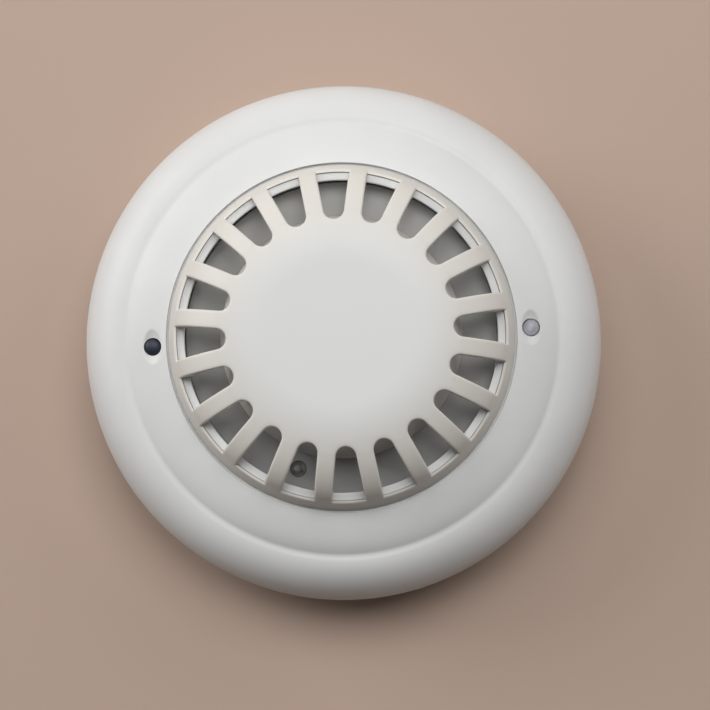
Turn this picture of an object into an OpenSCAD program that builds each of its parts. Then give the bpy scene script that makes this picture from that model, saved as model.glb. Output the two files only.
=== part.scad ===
// Point heat detector with a twist-lock base, lying on its ceiling face.
// +Z runs from the ceiling face to the sensing face, and +X points to the status lamp.

/* [Front cover] */
// Largest outside diameter of the cover
cover_d = 103; // [97:1:124]
// Height of the cover from its lower edge to the foot of the grille
cover_h = 17.4; // [16.4:0.2:22]
// Height of the widest line above the cover's lower edge
belly_h = 3.4; // [2.6:0.2:4.4]
// How far the cover's lower edge tucks in below the widest line
edge_tuck = 1.1; // [0.6:0.1:1.6]
// Width of the rounded rim, seen from the front
rim_w = 8; // [7.2:0.1:9.4]
// Width of the ring between the rim's crest and the grille
ring_w = 9.8; // [9.2:0.1:12.2]
// Drop of the ring from the grille's foot to the valley at the rim
ring_drop = 2.9; // [2.2:0.1:3.2]
// Height of the rim's crest above the valley
step_h = 0.1; // [0.05:0.05:0.4]
// Width of the soft line between the valley and the crest
step_w = 1.1; // [0.8:0.1:1.6]
// Wall thickness of the cover
cover_wall = 2; // [1.6:0.1:2.4]

/* [Collar of the cover] */
// Height of the collar above the grille's foot
collar_rise = 3; // [2.4:0.1:3.2]
// Wall thickness of the collar
collar_wall = 0.8; // [0.7:0.05:1.1]
// Width of the flat lip round the collar's top
collar_lip_w = 1.4; // [1.2:0.1:1.8]
// Thickness of the lip
collar_lip_t = 1; // [0.8:0.1:1.4]

/* [Grille] */
// Height of the grille above its foot
grille_h = 13; // [12:0.2:16]
// Number of air slots
slot_count = 20; // [16:1:22]
// Width of a rib between two slots
rib_w = 3.4; // [2.6:0.1:3.8]
// Radial length of a slot
slot_l = 10.2; // [8.6:0.1:12]
// Radius of the flat disc in the middle, where the domed ribs begin
disc_r = 14; // [12:0.2:16]
// Height above the foot at which the dome meets the straight wall
knee_h = 5.3; // [4.8:0.1:5.8]
// How far the knee lies inside the foot
knee_inset = 2.2; // [2:0.1:2.4]
// Height of the slots' sill above the foot
sill_h = 3.4; // [3:0.1:3.8]
// Wall thickness of the grille
grille_wall = 1.8; // [1.4:0.1:2]
// Wall thickness of the grille's ring at its foot
ring_wall = 2; // [1.9:0.1:2.2]
// Wall thickness of the inner skirt
skirt_wall = 1.4; // [1:0.1:1.8]
// How far the inner skirt flares from top to bottom
skirt_flare = 2.4; // [1.4:0.1:2.6]

/* [Lamp and receiver] */
// Diameter of the round lenses
lens_d = 3.2; // [2.8:0.1:3.4]
// Distance from the lens centre to the grille's foot
lens_inset = 3.1; // [2.8:0.1:3.6]
// Radial width of the scooped recess round a lens
scoop_w = 4.1; // [3.9:0.1:4.6]
// Length of the scooped recess along the ring
scoop_l = 6.8; // [6:0.1:7.6]
// Depth of the scooped recess
scoop_depth = 0.65; // [0.4:0.05:0.9]
// Height of a lens body from its foot to the top of its dome
lens_h = 5.2; // [4.6:0.1:5.6]

/* [Sensing deck] */
// Depth of the deck below the grille's foot
deck_drop = 1; // [0.6:0.1:1.4]
// Thickness of the deck
deck_t = 2; // [1.6:0.1:2.4]
// Diameter of the sensor port
port_d = 3.2; // [3:0.1:3.8]
// Direction of the sensor port, from the status lamp
port_angle = 249; // [244:0.5:256]
// Diameter of the thermistor bead
bead_d = 1.4; // [1.2:0.1:2.4]
// Height of the bead's centre above the deck
bead_rise = 2.6; // [2:0.2:6]

/* [Board] */
// Distance from the lens centres out to the edge of the circuit board
board_edge = 5.2; // [5:0.1:6.4]
// Thickness of the circuit board
board_t = 1.6; // [1.2:0.1:2]
// Gap between the rear housing and the board
board_gap = 2; // [1.6:0.1:2.6]

/* [Rear housing] */
// Thickness of the rear housing
housing_t = 2; // [1.8:0.1:2.6]
// Shank diameter of the three housing screws
housing_screw_d = 2.5; // [2.2:0.1:2.8]
// Gap between the base and the cover
head_gap = 0.4; // [0.3:0.05:0.6]

/* [Base] */
// Height of the base
base_h = 8.2; // [8:0.1:10]
// Thickness of the base plate
plate_t = 2.2; // [1.8:0.1:2.8]
// Wall thickness of the base's skirt
skirt_t = 1.8; // [1.4:0.1:2.2]
// How much smaller in radius the base is than the cover
base_inset = 1.5; // [1.3:0.1:2]
// Distance between the centres of the two fixing slots
fixing_pitch = 60; // [54:1:62]
// Width of a fixing slot
fixing_w = 4.5; // [4:0.1:5]
// Length of a fixing slot, end to end
fixing_l = 10; // [8:0.5:11]
// Diameter of the cable entry
entry_d = 24; // [18:1:28]
// Direction of the index nub, from the status lamp
nub_angle = 284.4; // [278:0.2:290]
// Width of the index nub
nub_w = 2.2; // [1.6:0.1:3]

/* [Twist lock] */
// Number of hooks and lugs
lock_count = 3; // [3:1:4]
// Direction of the first hook
lock_start = 75; // [72:1:76]
// Length of a hook, in degrees
hook_span = 18; // [16:1:19]
// Length of a lug, in degrees
lug_span = 16; // [13:1:17]
// Thickness of a lug and of the hook's lip
lug_t = 1.6; // [1.3:0.1:1.8]
// Radial overlap of a lug under its hook
lug_grip = 2.3; // [1.6:0.1:2.6]

/* [Terminals] */
// Distance from the centre to the terminals and the contacts
contact_r = 30; // [29.5:0.1:31]
// Direction of the first contact blade
contact_start = 40; // [38:1:42]
// Angle from a blade back to its terminal screw
screw_back = 16; // [15:0.5:18]
// Width of a contact strip
strip_w = 5; // [4:0.2:5.6]
// Thickness of a contact strip
strip_t = 0.6; // [0.5:0.05:0.7]
// Shank diameter of a terminal screw
terminal_d = 3; // [2.6:0.1:3.4]

/* [Hidden] */
$fn = 96;
eps = 0.01;

// Clearances
run_gap = 0.4;       // between parts that pass each other
lip_gap = 0.3;       // between a lug and the hook's lip above it
seat_gap = 0.02;     // between a screw or pin and its hole
fit_gap = 0.15;      // between parts that slide on by hand
seam_gap = 0.35;     // the open seam round the grille's foot
wipe_gap = 0.05;     // between a blade and the leaf that it wipes

// Heights, from the ceiling face up
cover_z = base_h + head_gap;
belly_z = cover_z + belly_h;
foot_z = cover_z + cover_h;
top_z = foot_z + grille_h;
valley_z = foot_z - ring_drop;
crest_z = valley_z + step_h;
deck_z = foot_z - deck_drop;
collar_z = foot_z + collar_rise;
housing_z = cover_z + head_gap;
housing_top = housing_z + housing_t;
board_z = housing_top + board_gap;
board_top = board_z + board_t;

// Radii of the cover
cover_r = cover_d / 2;
crest_r = cover_r - rim_w;
valley_r = crest_r - step_w;
foot_r = crest_r - ring_w;
well_r = foot_r + seam_gap;
cover_bore_r = cover_r - edge_tuck - cover_wall + 0.1;
lens_r = foot_r + lens_inset;
board_r = lens_r + board_edge;

// The rim is part of an ellipse that ends at this angle, where the crest begins
rim_end = 84;
rim_a = rim_w / (1 - cos(rim_end));
rim_b = (crest_z - belly_z) / sin(rim_end);

// Radii and heights of the grille
ring_in_r = foot_r - ring_wall;
knee_r = foot_r - knee_inset;
knee_z = foot_z + knee_h;
sill_z = foot_z + sill_h;
// The dome is part of an ellipse round the disc's edge that ends at this angle, at the knee
dome_end = 15;
dome_a = (knee_r - disc_r) / cos(dome_end);
dome_b = (top_z - knee_z) / (1 - sin(dome_end));
dome_z = top_z - dome_b;
foot_drop = 0.5;
slot_out_r = ring_in_r;
slot_in_r = slot_out_r - slot_l;
collar_out_r = ring_in_r - fit_gap;
collar_in_r = collar_out_r - collar_wall;
collar_lip_r = collar_out_r - collar_lip_w;
well_z = foot_z - foot_drop - lip_gap;
collar_foot_z = well_z - cover_wall;
rib_foot_z = max(sill_z + 0.1, collar_z + lip_gap);
skirt_top_r = slot_in_r - 0.3;
skirt_z = deck_z + lip_gap;

// The round inner end of a slot touches the sides of both ribs beside it
half_pitch = 180 / slot_count;
slot_round_c = (slot_in_r - rib_w / 2) / (1 - sin(half_pitch));
slot_round_r = slot_round_c - slot_in_r;

// Deck and sensor
deck_r = collar_in_r - run_gap;
deck_flange_r = collar_out_r + 1.45;
deck_flange_t = 1.6;
flange_z = collar_foot_z - deck_flange_t;
leg_r = 1.6;
leg_ring = deck_flange_r - leg_r - 0.4;
leg_start = 30;
port_ring = (skirt_top_r + skirt_flare + collar_lip_r) / 2;
grommet_lip = 0.4;
deck_flange_in_r = port_ring + port_d / 2 + grommet_lip + fit_gap;
lead_d = 0.45;
lead_pitch = 1.0;
lead_below = 1.2;
bead_foot = 0.35;    // how far below its centre the bead ends, as a share of its diameter

// Lamp and receiver
lens_foot_z = ring_top(lens_r) - lens_h;
lens_flange_r = lens_d / 2 + 0.35;
lens_flange_t = 1;
lens_hole_r = lens_d / 2 + 0.15;
lens_lead_pitch = 1.8;
spacer_r = lens_d / 2 + 0.8;
spacer_bore_r = lens_d / 2;

// Housing screws
screw_ring = board_r - 3.5;
screw_start = 90;
boss_r = 2.7;
screw_head_r = 2.4;
screw_head_t = 1.7;
screw_bite = 5;
post_r = 3.5;
lip_drop = 1;

// Base and twist lock
base_r = cover_r - base_inset;
base_bore_r = base_r - skirt_t;
hook_out_r = base_bore_r - 3.6;
hook_wall = 1.6;
hook_in_r = hook_out_r - hook_wall;
lip_in_r = hook_in_r - lug_grip - run_gap;
hook_top = base_h - 1.2;
lip_z = hook_top - lug_t;
lug_out_r = hook_in_r - run_gap;
lug_top = lip_z - lip_gap;
lug_z = lug_top - lug_t;
lug_post_r = lip_in_r - run_gap;
lug_in_r = lug_post_r - 2.4;
stop_span = 2.4;
back_land = 4;
relief = 0.7;
fixing_pad = 2.5;
stop_gap = 0.4;

// Terminals and contacts
boss_t = 2;
boss_w = 9;
strip_z = plate_t + boss_t;
clamp_t = 1;
clamp_w = 7.6;
terminal_head_r = 2.9;
terminal_head_t = 1.9;
blade_t = 0.8;
blade_foot_l = 7;
leaf_step = 0.3;
leaf_narrow = 0.4;
leaf_top = strip_z + leaf_step + strip_t;
blade_z = leaf_top + wipe_gap;
twist_range = 20;
clamp_span = asin(clamp_w / 2 / contact_r);
leaf_end = asin(blade_foot_l / 2 / contact_r) + twist_range + 2;
rivet_r = 1.2;
rivet_head_r = 2;
rivet_head_t = 0.8;
rivet_rise = 0.8;
label_t = 0.2;
label_r = 15;

// Height of the ring's surface at a distance from the centre
function ring_top(r) =
    let (u = max(0, (r - foot_r) / (valley_r - foot_r)))
    foot_z - ring_drop * (0.7 * pow(u, 1.2) + 0.3 * pow(u, 5));
// Points of an elliptic arc in the half-section
function arc(c, a, b, from, to, n) =
    [for (i = [0:n]) let (t = from + (to - from) * i / n) [c[0] + a * cos(t), c[1] + b * sin(t)]];

module spin(count, start = 0) {
    for (i = [0:count - 1]) rotate(start + i * 360 / count) children();
}

module tube(r_out, r_in, h) {
    difference() {
        cylinder(r = r_out, h = h);
        translate([0, 0, -eps]) cylinder(r = r_in, h = h + 2 * eps);
    }
}

// A block on a ring: from r_in to r_out, over an angle centred on +X
module ring_block(r_in, r_out, z0, z1, span) {
    translate([0, 0, z0]) rotate(-span / 2)
        rotate_extrude(angle = span) translate([r_in, 0]) square([r_out - r_in, z1 - z0]);
}

// ---------- base ----------

module fixing_slot() {
    run = (fixing_l - fixing_w) / 2;
    for (x = [-run, run]) translate([x, 0, -1]) cylinder(d = fixing_w, h = plate_t + 2);
    translate([-run, -fixing_w / 2, -1]) cube([2 * run, fixing_w, plate_t + 2]);
}

module hook() {
    ring_block(hook_in_r, hook_out_r, plate_t - eps, hook_top, hook_span);
    ring_block(lip_in_r, hook_out_r - eps, lip_z, hook_top, hook_span);
    // The stop that the lug meets when the head is locked
    rotate(-(lug_span + stop_span) / 2 - stop_gap)
        ring_block(lip_in_r, hook_out_r, plate_t - eps, hook_top, stop_span);
}

module index_nub() {
    nub_r = cover_r + 0.4;
    rotate(nub_angle) intersection() {
        translate([base_r - 1, -nub_w / 2, 1.4]) cube([4, nub_w, base_h - 2.6]);
        cylinder(r = nub_r, h = base_h);
    }
}

// The back is sunk between an outer land, an inner land, six ribs and a pad round each fixing slot
module back_relief() {
    difference() {
        translate([0, 0, -1]) tube(base_r - back_land, entry_d / 2 + back_land, 1 + relief);
        for (x = [-1, 1]) translate([x * fixing_pitch / 2, 0, -2])
            cylinder(r = fixing_l / 2 + fixing_pad, h = plate_t + 2);
        spin(6, 30) translate([0, -1, -2]) cube([cover_r, 2, plate_t + 2]);
    }
}

module mounting_base() {
    color([0.90, 0.90, 0.88]) difference() {
        union() {
            cylinder(r = base_r, h = plate_t);
            tube(base_r, base_bore_r, base_h);
            translate([0, 0, plate_t - eps]) tube(entry_d / 2 + 1.6, entry_d / 2, 2);
            spin(lock_count, lock_start) hook();
            spin(4, contact_start - screw_back)
                translate([contact_r - boss_w / 2, -boss_w / 2, plate_t - eps])
                    cube([boss_w, boss_w, boss_t + eps]);
            index_nub();
        }
        back_relief();
        translate([0, 0, -1]) cylinder(d = entry_d, h = base_h);
        for (x = [-1, 1]) translate([x * fixing_pitch / 2, 0, 0]) fixing_slot();
        spin(4, contact_start - screw_back) translate([contact_r, 0, plate_t - 0.6])
            cylinder(d = terminal_d + 2 * seat_gap, h = base_h);
    }
}

// A curved strip of contact metal at the terminals' radius
module strip(w, z, from, to) {
    rotate((from + to) / 2) ring_block(contact_r - w / 2, contact_r + w / 2, z, z + strip_t, to - from);
}

// The leaf lies flat under the clamp, then steps up to the arc that the blade wipes
module contact_springs() {
    color([0.85, 0.68, 0.35]) spin(4, contact_start) difference() {
        union() {
            strip(strip_w, strip_z, -screw_back - clamp_span, -screw_back + clamp_span + 3);
            strip(strip_w - leaf_narrow, strip_z + leaf_step, -screw_back + clamp_span + 1.5, leaf_end);
        }
        rotate(-screw_back) translate([contact_r, 0, 0]) cylinder(d = terminal_d + 2 * seat_gap, h = base_h);
    }
}

// The cross for a screwdriver, cut into a screw's head
module cross_slot(l, w) {
    for (a = [0, 90]) rotate(a) translate([-l / 2, -w / 2, 0]) cube([l, w, 0.9 + eps]);
}

module wire_clamps() {
    color([0.75, 0.76, 0.78]) spin(4, contact_start - screw_back)
        translate([contact_r, 0, strip_z + strip_t]) difference() {
            translate([-clamp_w / 2, -clamp_w / 2, 0]) cube([clamp_w, clamp_w, clamp_t]);
            translate([0, 0, -1]) cylinder(d = terminal_d + 2 * seat_gap, h = clamp_t + 2);
        }
}

module terminal_screws() {
    head_z = strip_z + strip_t + clamp_t;
    color([0.78, 0.78, 0.8]) spin(4, contact_start - screw_back) translate([contact_r, 0, 0]) difference() {
        union() {
            translate([0, 0, plate_t - 0.4]) cylinder(d = terminal_d, h = head_z - plate_t + 0.4 + eps);
            translate([0, 0, head_z]) cylinder(r = terminal_head_r, h = terminal_head_t);
        }
        translate([0, 0, head_z + terminal_head_t - 0.9]) cross_slot(3.8, 0.7);
    }
}

// ---------- rear of the head ----------

module lug() {
    ring_block(lug_in_r, lug_out_r, lug_z, lug_top, lug_span);
    ring_block(lug_in_r, lug_post_r, lug_z, housing_z + eps, lug_span);
}

module rear_housing() {
    rim_r = cover_bore_r - lip_gap;
    color([0.90, 0.90, 0.88]) difference() {
        union() {
            translate([0, 0, housing_z]) cylinder(r = rim_r, h = housing_t);
            translate([0, 0, housing_top - eps]) tube(rim_r, rim_r - 1.6, 1.6);
            // This lip closes the gap between the base and the cover
            translate([0, 0, base_h - lip_drop]) tube(base_bore_r - run_gap, base_bore_r - run_gap - 1.6,
                                                      housing_z + eps - base_h + lip_drop);
            spin(3, screw_start)
                translate([screw_ring, 0, housing_z]) cylinder(r = post_r, h = board_z - housing_z);
            spin(lock_count, lock_start) lug();
        }
        spin(3, screw_start) translate([screw_ring, 0, 0]) {
            translate([0, 0, housing_z - 1]) cylinder(r = screw_head_r + 0.2, h = 1 + screw_head_t + 0.2);
            cylinder(d = housing_screw_d + 2 * fit_gap, h = board_top);
        }
        spin(4, contact_start) translate([contact_r, 0, 0]) cylinder(r = rivet_r + seat_gap, h = board_top);
    }
}

module contact_blades() {
    color([0.85, 0.68, 0.35]) spin(4, contact_start) translate([contact_r, 0, 0]) difference() {
        union() {
            translate([-strip_w / 2, -blade_foot_l / 2, housing_z - blade_t])
                cube([strip_w, blade_foot_l, blade_t]);
            translate([-strip_w / 2, blade_foot_l / 2 - blade_t, blade_z])
                cube([strip_w, blade_t, housing_z - blade_z]);
        }
        cylinder(r = rivet_r + seat_gap, h = board_top);
    }
}

module contact_rivets() {
    foot = housing_z - blade_t;
    color([0.8, 0.8, 0.8]) spin(4, contact_start) translate([contact_r, 0, foot - rivet_head_t]) {
        cylinder(r = rivet_head_r, h = rivet_head_t);
        cylinder(r = rivet_r, h = board_top + rivet_rise + rivet_head_t - foot);
    }
}

module housing_screws() {
    seat = housing_z + screw_head_t + 0.2;
    color([0.78, 0.78, 0.8]) spin(3, screw_start) translate([screw_ring, 0, 0]) difference() {
        union() {
            translate([0, 0, seat - screw_head_t]) cylinder(r = screw_head_r, h = screw_head_t);
            translate([0, 0, seat - eps]) cylinder(d = housing_screw_d, h = board_top + screw_bite - seat);
        }
        translate([0, 0, seat - screw_head_t - 0.1]) cross_slot(3, 0.6);
    }
}

module rear_label() {
    color([0.95, 0.95, 0.93]) translate([0, 0, housing_z - label_t]) cylinder(r = label_r, h = label_t);
}

// ---------- board and its parts ----------

module circuit_board() {
    lead_hole = lead_d / 2 + 0.1;
    color([0.10, 0.38, 0.20]) difference() {
        translate([0, 0, board_z]) cylinder(r = board_r, h = board_t);
        spin(3, screw_start)
            translate([screw_ring, 0, 0]) cylinder(d = housing_screw_d + 2 * fit_gap, h = top_z);
        spin(4, contact_start) translate([contact_r, 0, 0]) cylinder(r = rivet_r + seat_gap, h = top_z);
        for (side = [0, 180]) rotate(side) translate([lens_r, 0, 0])
            for (y = [-1, 1]) translate([0, y * lens_lead_pitch / 2, 0]) cylinder(r = lead_hole, h = top_z);
        rotate(port_angle) translate([port_ring, 0, 0])
            for (y = [-1, 1]) translate([0, y * lead_pitch / 2, 0]) cylinder(r = lead_hole, h = top_z);
    }
}

module controller_chip() {
    body_l = 9.9;
    body_w = 3.9;
    pins = 8;
    pin_pitch = 1.27;
    translate([-7, -5, board_top]) {
        color([0.12, 0.12, 0.13]) translate([-body_l / 2, -body_w / 2, 0.1]) cube([body_l, body_w, 1.45]);
        color([0.75, 0.75, 0.78]) for (i = [0:pins - 1], s = [-1, 1])
            translate([(i - (pins - 1) / 2) * pin_pitch - 0.2, s * (body_w / 2 + 0.45) - 0.55, 0])
                cube([0.4, 1.1, 0.4]);
    }
}

module storage_capacitor() {
    can_r = 4;
    can_h = min(5.6, flange_z - board_top - 0.2);
    color([0.62, 0.64, 0.68]) translate([7, 12, board_top]) {
        translate([-can_r, -can_r, 0]) cube([2 * can_r, 2 * can_r, 0.8]);
        translate([0, 0, 0.8 - eps]) cylinder(r = can_r - 0.1, h = can_h - 0.8);
    }
}

module bridge_rectifier() {
    color([0.14, 0.14, 0.15]) translate([14, -13, board_top]) {
        translate([-2.35, -1.95, 0]) cube([4.7, 3.9, 2.4]);
        for (x = [-1.27, 1.27]) translate([x - 0.3, -3.2, 0]) cube([0.6, 6.4, 0.5]);
    }
}

module surge_suppressor() {
    color([0.16, 0.15, 0.15]) translate([21, 2, board_top]) {
        translate([-1.8, -2.3, 0]) cube([3.6, 4.6, 2.3]);
        translate([-1, -2.9, 0]) cube([2, 5.8, 0.6]);
    }
}

// Rows of chip resistors and capacitors beside the controller
module chip_parts() {
    color([0.70, 0.62, 0.50]) for (row = [0:2], i = [0:4])
        translate([-15 + i * 3.4, 2 + row * 3.2, board_top]) cube([2, 1.25, row == 1 ? 0.9 : 0.6]);
}

module reference_thermistor() {
    color([0.20, 0.45, 0.35]) translate([-16, 16, board_top]) {
        cylinder(r = 0.5, h = 1.6);
        translate([0, 0, 2]) sphere(r = 1.1);
    }
}

// ---------- sensor ----------

module at_port() {
    rotate(port_angle) translate([port_ring, 0, 0]) children();
}

module thermistor_bead() {
    color([0.80, 0.80, 0.76]) at_port() difference() {
        translate([0, 0, deck_z + bead_rise]) sphere(d = bead_d);
        translate([-bead_d, -bead_d, deck_z + bead_rise - bead_d])
            cube([2 * bead_d, 2 * bead_d, (1 - bead_foot) * bead_d]);
    }
}

module thermistor_leads() {
    end = deck_z + bead_rise - bead_foot * bead_d;
    color([0.78, 0.78, 0.8]) at_port() for (y = [-1, 1])
        translate([0, y * lead_pitch / 2, board_z - lead_below])
            cylinder(d = lead_d, h = end - board_z + lead_below);
}

module sensor_grommet() {
    color([0.16, 0.16, 0.17]) at_port() difference() {
        union() {
            translate([0, 0, deck_z - deck_t]) cylinder(r = port_d / 2 - seat_gap, h = deck_t - 0.4);
            translate([0, 0, deck_z - deck_t - 0.8])
                cylinder(r = port_d / 2 + grommet_lip, h = 0.8 - seat_gap);
            translate([0, 0, deck_z - deck_t - 0.1]) cylinder(r = port_d / 2 - seat_gap, h = 0.2);
        }
        for (y = [-1, 1])
            translate([0, y * lead_pitch / 2, 0]) cylinder(d = lead_d + 2 * seat_gap, h = top_z);
    }
}

module sensor_deck() {
    color([0.47, 0.48, 0.49]) difference() {
        union() {
            rotate_extrude() polygon([
                [0, deck_z - deck_t], [0, deck_z], [deck_r, deck_z], [deck_r, collar_foot_z],
                [deck_flange_r, collar_foot_z], [deck_flange_r, flange_z],
                [deck_flange_in_r, flange_z], [deck_flange_in_r, deck_z - deck_t]]);
            spin(3, leg_start)
                translate([leg_ring, 0, board_top]) cylinder(r = leg_r, h = flange_z + eps - board_top);
        }
        at_port() cylinder(d = port_d, h = top_z);
    }
}

// ---------- lamp and receiver ----------

// A round-topped lens body with a flange at its foot
module lens_body() {
    dome = lens_d / 2;
    flat = 0.9;
    translate([lens_r, 0, lens_foot_z]) {
        cylinder(r = lens_flange_r, h = lens_flange_t);
        cylinder(d = lens_d, h = lens_h - flat);
        intersection() {
            translate([0, 0, lens_h - dome - 0.3]) sphere(r = dome + 0.3);
            translate([0, 0, lens_h - flat - eps]) cylinder(d = lens_d, h = flat + 1);
        }
    }
}

module lens_spacer() {
    translate([lens_r, 0, board_top]) tube(spacer_r, spacer_bore_r, lens_foot_z - board_top);
}

module lens_leads() {
    for (y = [-1, 1]) translate([lens_r, y * lens_lead_pitch / 2, board_z - lead_below])
        cylinder(d = lead_d, h = lens_foot_z - board_z + lead_below);
}

module status_led() color([0.86, 0.87, 0.92, 0.8]) lens_body();
module led_spacer() color([0.92, 0.92, 0.90]) lens_spacer();
module led_leads() color([0.78, 0.78, 0.80]) lens_leads();
module ir_receiver() color([0.08, 0.09, 0.16]) rotate(180) lens_body();
module receiver_spacer() color([0.92, 0.92, 0.90]) rotate(180) lens_spacer();
module receiver_leads() color([0.78, 0.78, 0.80]) rotate(180) lens_leads();

// ---------- cover and grille ----------

module cover_profile() {
    wall = cover_wall;
    outer = concat(
        [[cover_bore_r, cover_z]],
        arc([cover_r - edge_tuck, belly_z], edge_tuck, belly_h, -90, 0, 6),
        [for (i = [1:16]) let (t = rim_end * i / 16)
            [cover_r - rim_a * (1 - cos(t)), belly_z + rim_b * sin(t)]],
        [[crest_r - 0.25 * step_w, crest_z + 0.04],
         [crest_r - 0.5 * step_w, crest_z - 0.3 * step_h],
         [crest_r - 0.8 * step_w, crest_z - 0.9 * step_h]],
        [for (i = [0:8]) let (r = valley_r + (well_r - valley_r) * i / 8) [r, ring_top(r)]]);
    well = [[well_r, well_z], [collar_out_r, well_z], [collar_out_r, collar_z], [collar_lip_r, collar_z],
            [collar_lip_r, collar_z - collar_lip_t], [collar_in_r, collar_z - collar_lip_t],
            [collar_in_r, collar_foot_z], [collar_out_r, collar_foot_z], [collar_out_r, well_z - wall + 0.2]];
    inner = concat(
        [for (i = [8:-1:0]) let (r = valley_r + (well_r - valley_r) * i / 8) [r, ring_top(r) - wall]],
        [for (i = [14:-1:2]) let (t = rim_end * i / 16)
            [min(cover_bore_r, cover_r - wall - (rim_a - wall) * (1 - cos(t))),
             belly_z + (rim_b - wall) * sin(t)]]);
    polygon(concat(outer, well, inner));
}

// The scooped recess round a lens, a stretch of a ring that lies on its edge
module scoop() {
    cross = (pow(scoop_w / 2, 2) + pow(scoop_depth, 2)) / (2 * scoop_depth);
    along = (pow(scoop_l / 2, 2) + pow(scoop_depth, 2)) / (2 * scoop_depth);
    slope = atan((ring_top(lens_r - 1) - ring_top(lens_r + 1)) / 2);
    translate([lens_r, 0, ring_top(lens_r)]) rotate([0, slope, 0])
        translate([0, 0, along - scoop_depth]) rotate([0, 90, 0])
            rotate_extrude() translate([along - cross, 0]) circle(r = cross);
}

module front_cover() {
    color([0.88, 0.89, 0.90]) difference() {
        union() {
            rotate_extrude() cover_profile();
            spin(3, screw_start) translate([screw_ring, 0, board_top])
                cylinder(r = boss_r, h = ring_top(screw_ring) - cover_wall / 2 - board_top);
        }
        for (side = [0, 180]) rotate(side) {
            scoop();
            translate([lens_r, 0, board_top]) cylinder(r = lens_hole_r, h = grille_h + cover_h);
        }
        spin(3, screw_start) translate([screw_ring, 0, board_top - 1])
            cylinder(d = housing_screw_d + 2 * seat_gap, h = screw_bite + 1.6);
    }
}

// Plan of one slot on +X: the space between two ribs, with a round inner end
module slot_plan() {
    tangent = slot_round_c - slot_round_r * sin(half_pitch);
    far = foot_r + 2;
    side = slot_round_r * cos(half_pitch) - 2 * eps;
    spread = side + (far - tangent) * tan(half_pitch);
    translate([slot_round_c, 0]) circle(r = slot_round_r);
    polygon([[tangent, -side], [far, -spread], [far, spread], [tangent, side]]);
}

module grille() {
    inner_a = dome_a - grille_wall;
    inner_b = dome_b - grille_wall;
    skirt_join_z = dome_z + (dome_b - grille_wall / 2) * sqrt(1 - pow((skirt_top_r - disc_r) / dome_a, 2));
    color([0.90, 0.88, 0.84]) {
        difference() {
            rotate_extrude() polygon(concat(
                [[0, top_z - grille_wall], [0, top_z]],
                arc([disc_r, dome_z], dome_a, dome_b, 90, dome_end, 14),
                [[foot_r, foot_z - foot_drop], [ring_in_r, foot_z - foot_drop],
                 [ring_in_r, rib_foot_z], [disc_r + inner_a * cos(dome_end), rib_foot_z]],
                arc([disc_r, dome_z], inner_a, inner_b, dome_end, 90, 14)));
            spin(slot_count) translate([0, 0, sill_z]) linear_extrude(top_z) slot_plan();
        }
        rotate_extrude() polygon([
            [skirt_top_r - skirt_wall, skirt_join_z], [skirt_top_r, skirt_join_z],
            [skirt_top_r + skirt_flare, skirt_z], [skirt_top_r + skirt_flare - skirt_wall, skirt_z]]);
    }
}

mounting_base();
contact_springs();
wire_clamps();
terminal_screws();
rear_housing();
contact_blades();
contact_rivets();
housing_screws();
rear_label();
circuit_board();
controller_chip();
storage_capacitor();
bridge_rectifier();
surge_suppressor();
chip_parts();
reference_thermistor();
thermistor_bead();
thermistor_leads();
sensor_grommet();
sensor_deck();
status_led();
led_spacer();
led_leads();
ir_receiver();
receiver_spacer();
receiver_leads();
front_cover();
grille();
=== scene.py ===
import math
import bmesh
import bpy
from mathutils import Matrix, Vector


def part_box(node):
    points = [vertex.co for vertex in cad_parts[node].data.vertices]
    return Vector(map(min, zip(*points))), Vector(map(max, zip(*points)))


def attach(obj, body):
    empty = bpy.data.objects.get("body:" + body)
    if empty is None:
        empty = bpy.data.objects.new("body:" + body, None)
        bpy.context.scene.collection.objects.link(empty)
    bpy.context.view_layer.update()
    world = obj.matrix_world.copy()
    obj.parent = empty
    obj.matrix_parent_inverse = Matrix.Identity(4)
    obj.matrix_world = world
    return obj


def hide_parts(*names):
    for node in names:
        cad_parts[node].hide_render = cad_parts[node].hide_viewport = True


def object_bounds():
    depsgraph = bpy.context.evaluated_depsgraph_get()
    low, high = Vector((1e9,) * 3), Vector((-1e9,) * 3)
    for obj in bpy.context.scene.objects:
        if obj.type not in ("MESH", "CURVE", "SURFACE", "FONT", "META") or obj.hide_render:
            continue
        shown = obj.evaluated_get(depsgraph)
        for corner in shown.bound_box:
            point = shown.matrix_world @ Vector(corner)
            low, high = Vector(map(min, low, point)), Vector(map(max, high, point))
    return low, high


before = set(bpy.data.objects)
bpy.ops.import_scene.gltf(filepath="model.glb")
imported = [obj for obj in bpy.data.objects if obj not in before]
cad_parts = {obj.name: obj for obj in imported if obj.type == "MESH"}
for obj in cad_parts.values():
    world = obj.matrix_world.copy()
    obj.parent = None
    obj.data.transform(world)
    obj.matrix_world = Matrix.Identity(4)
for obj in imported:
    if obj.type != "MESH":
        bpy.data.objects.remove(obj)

cad_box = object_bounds()
mm = 0.001

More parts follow.
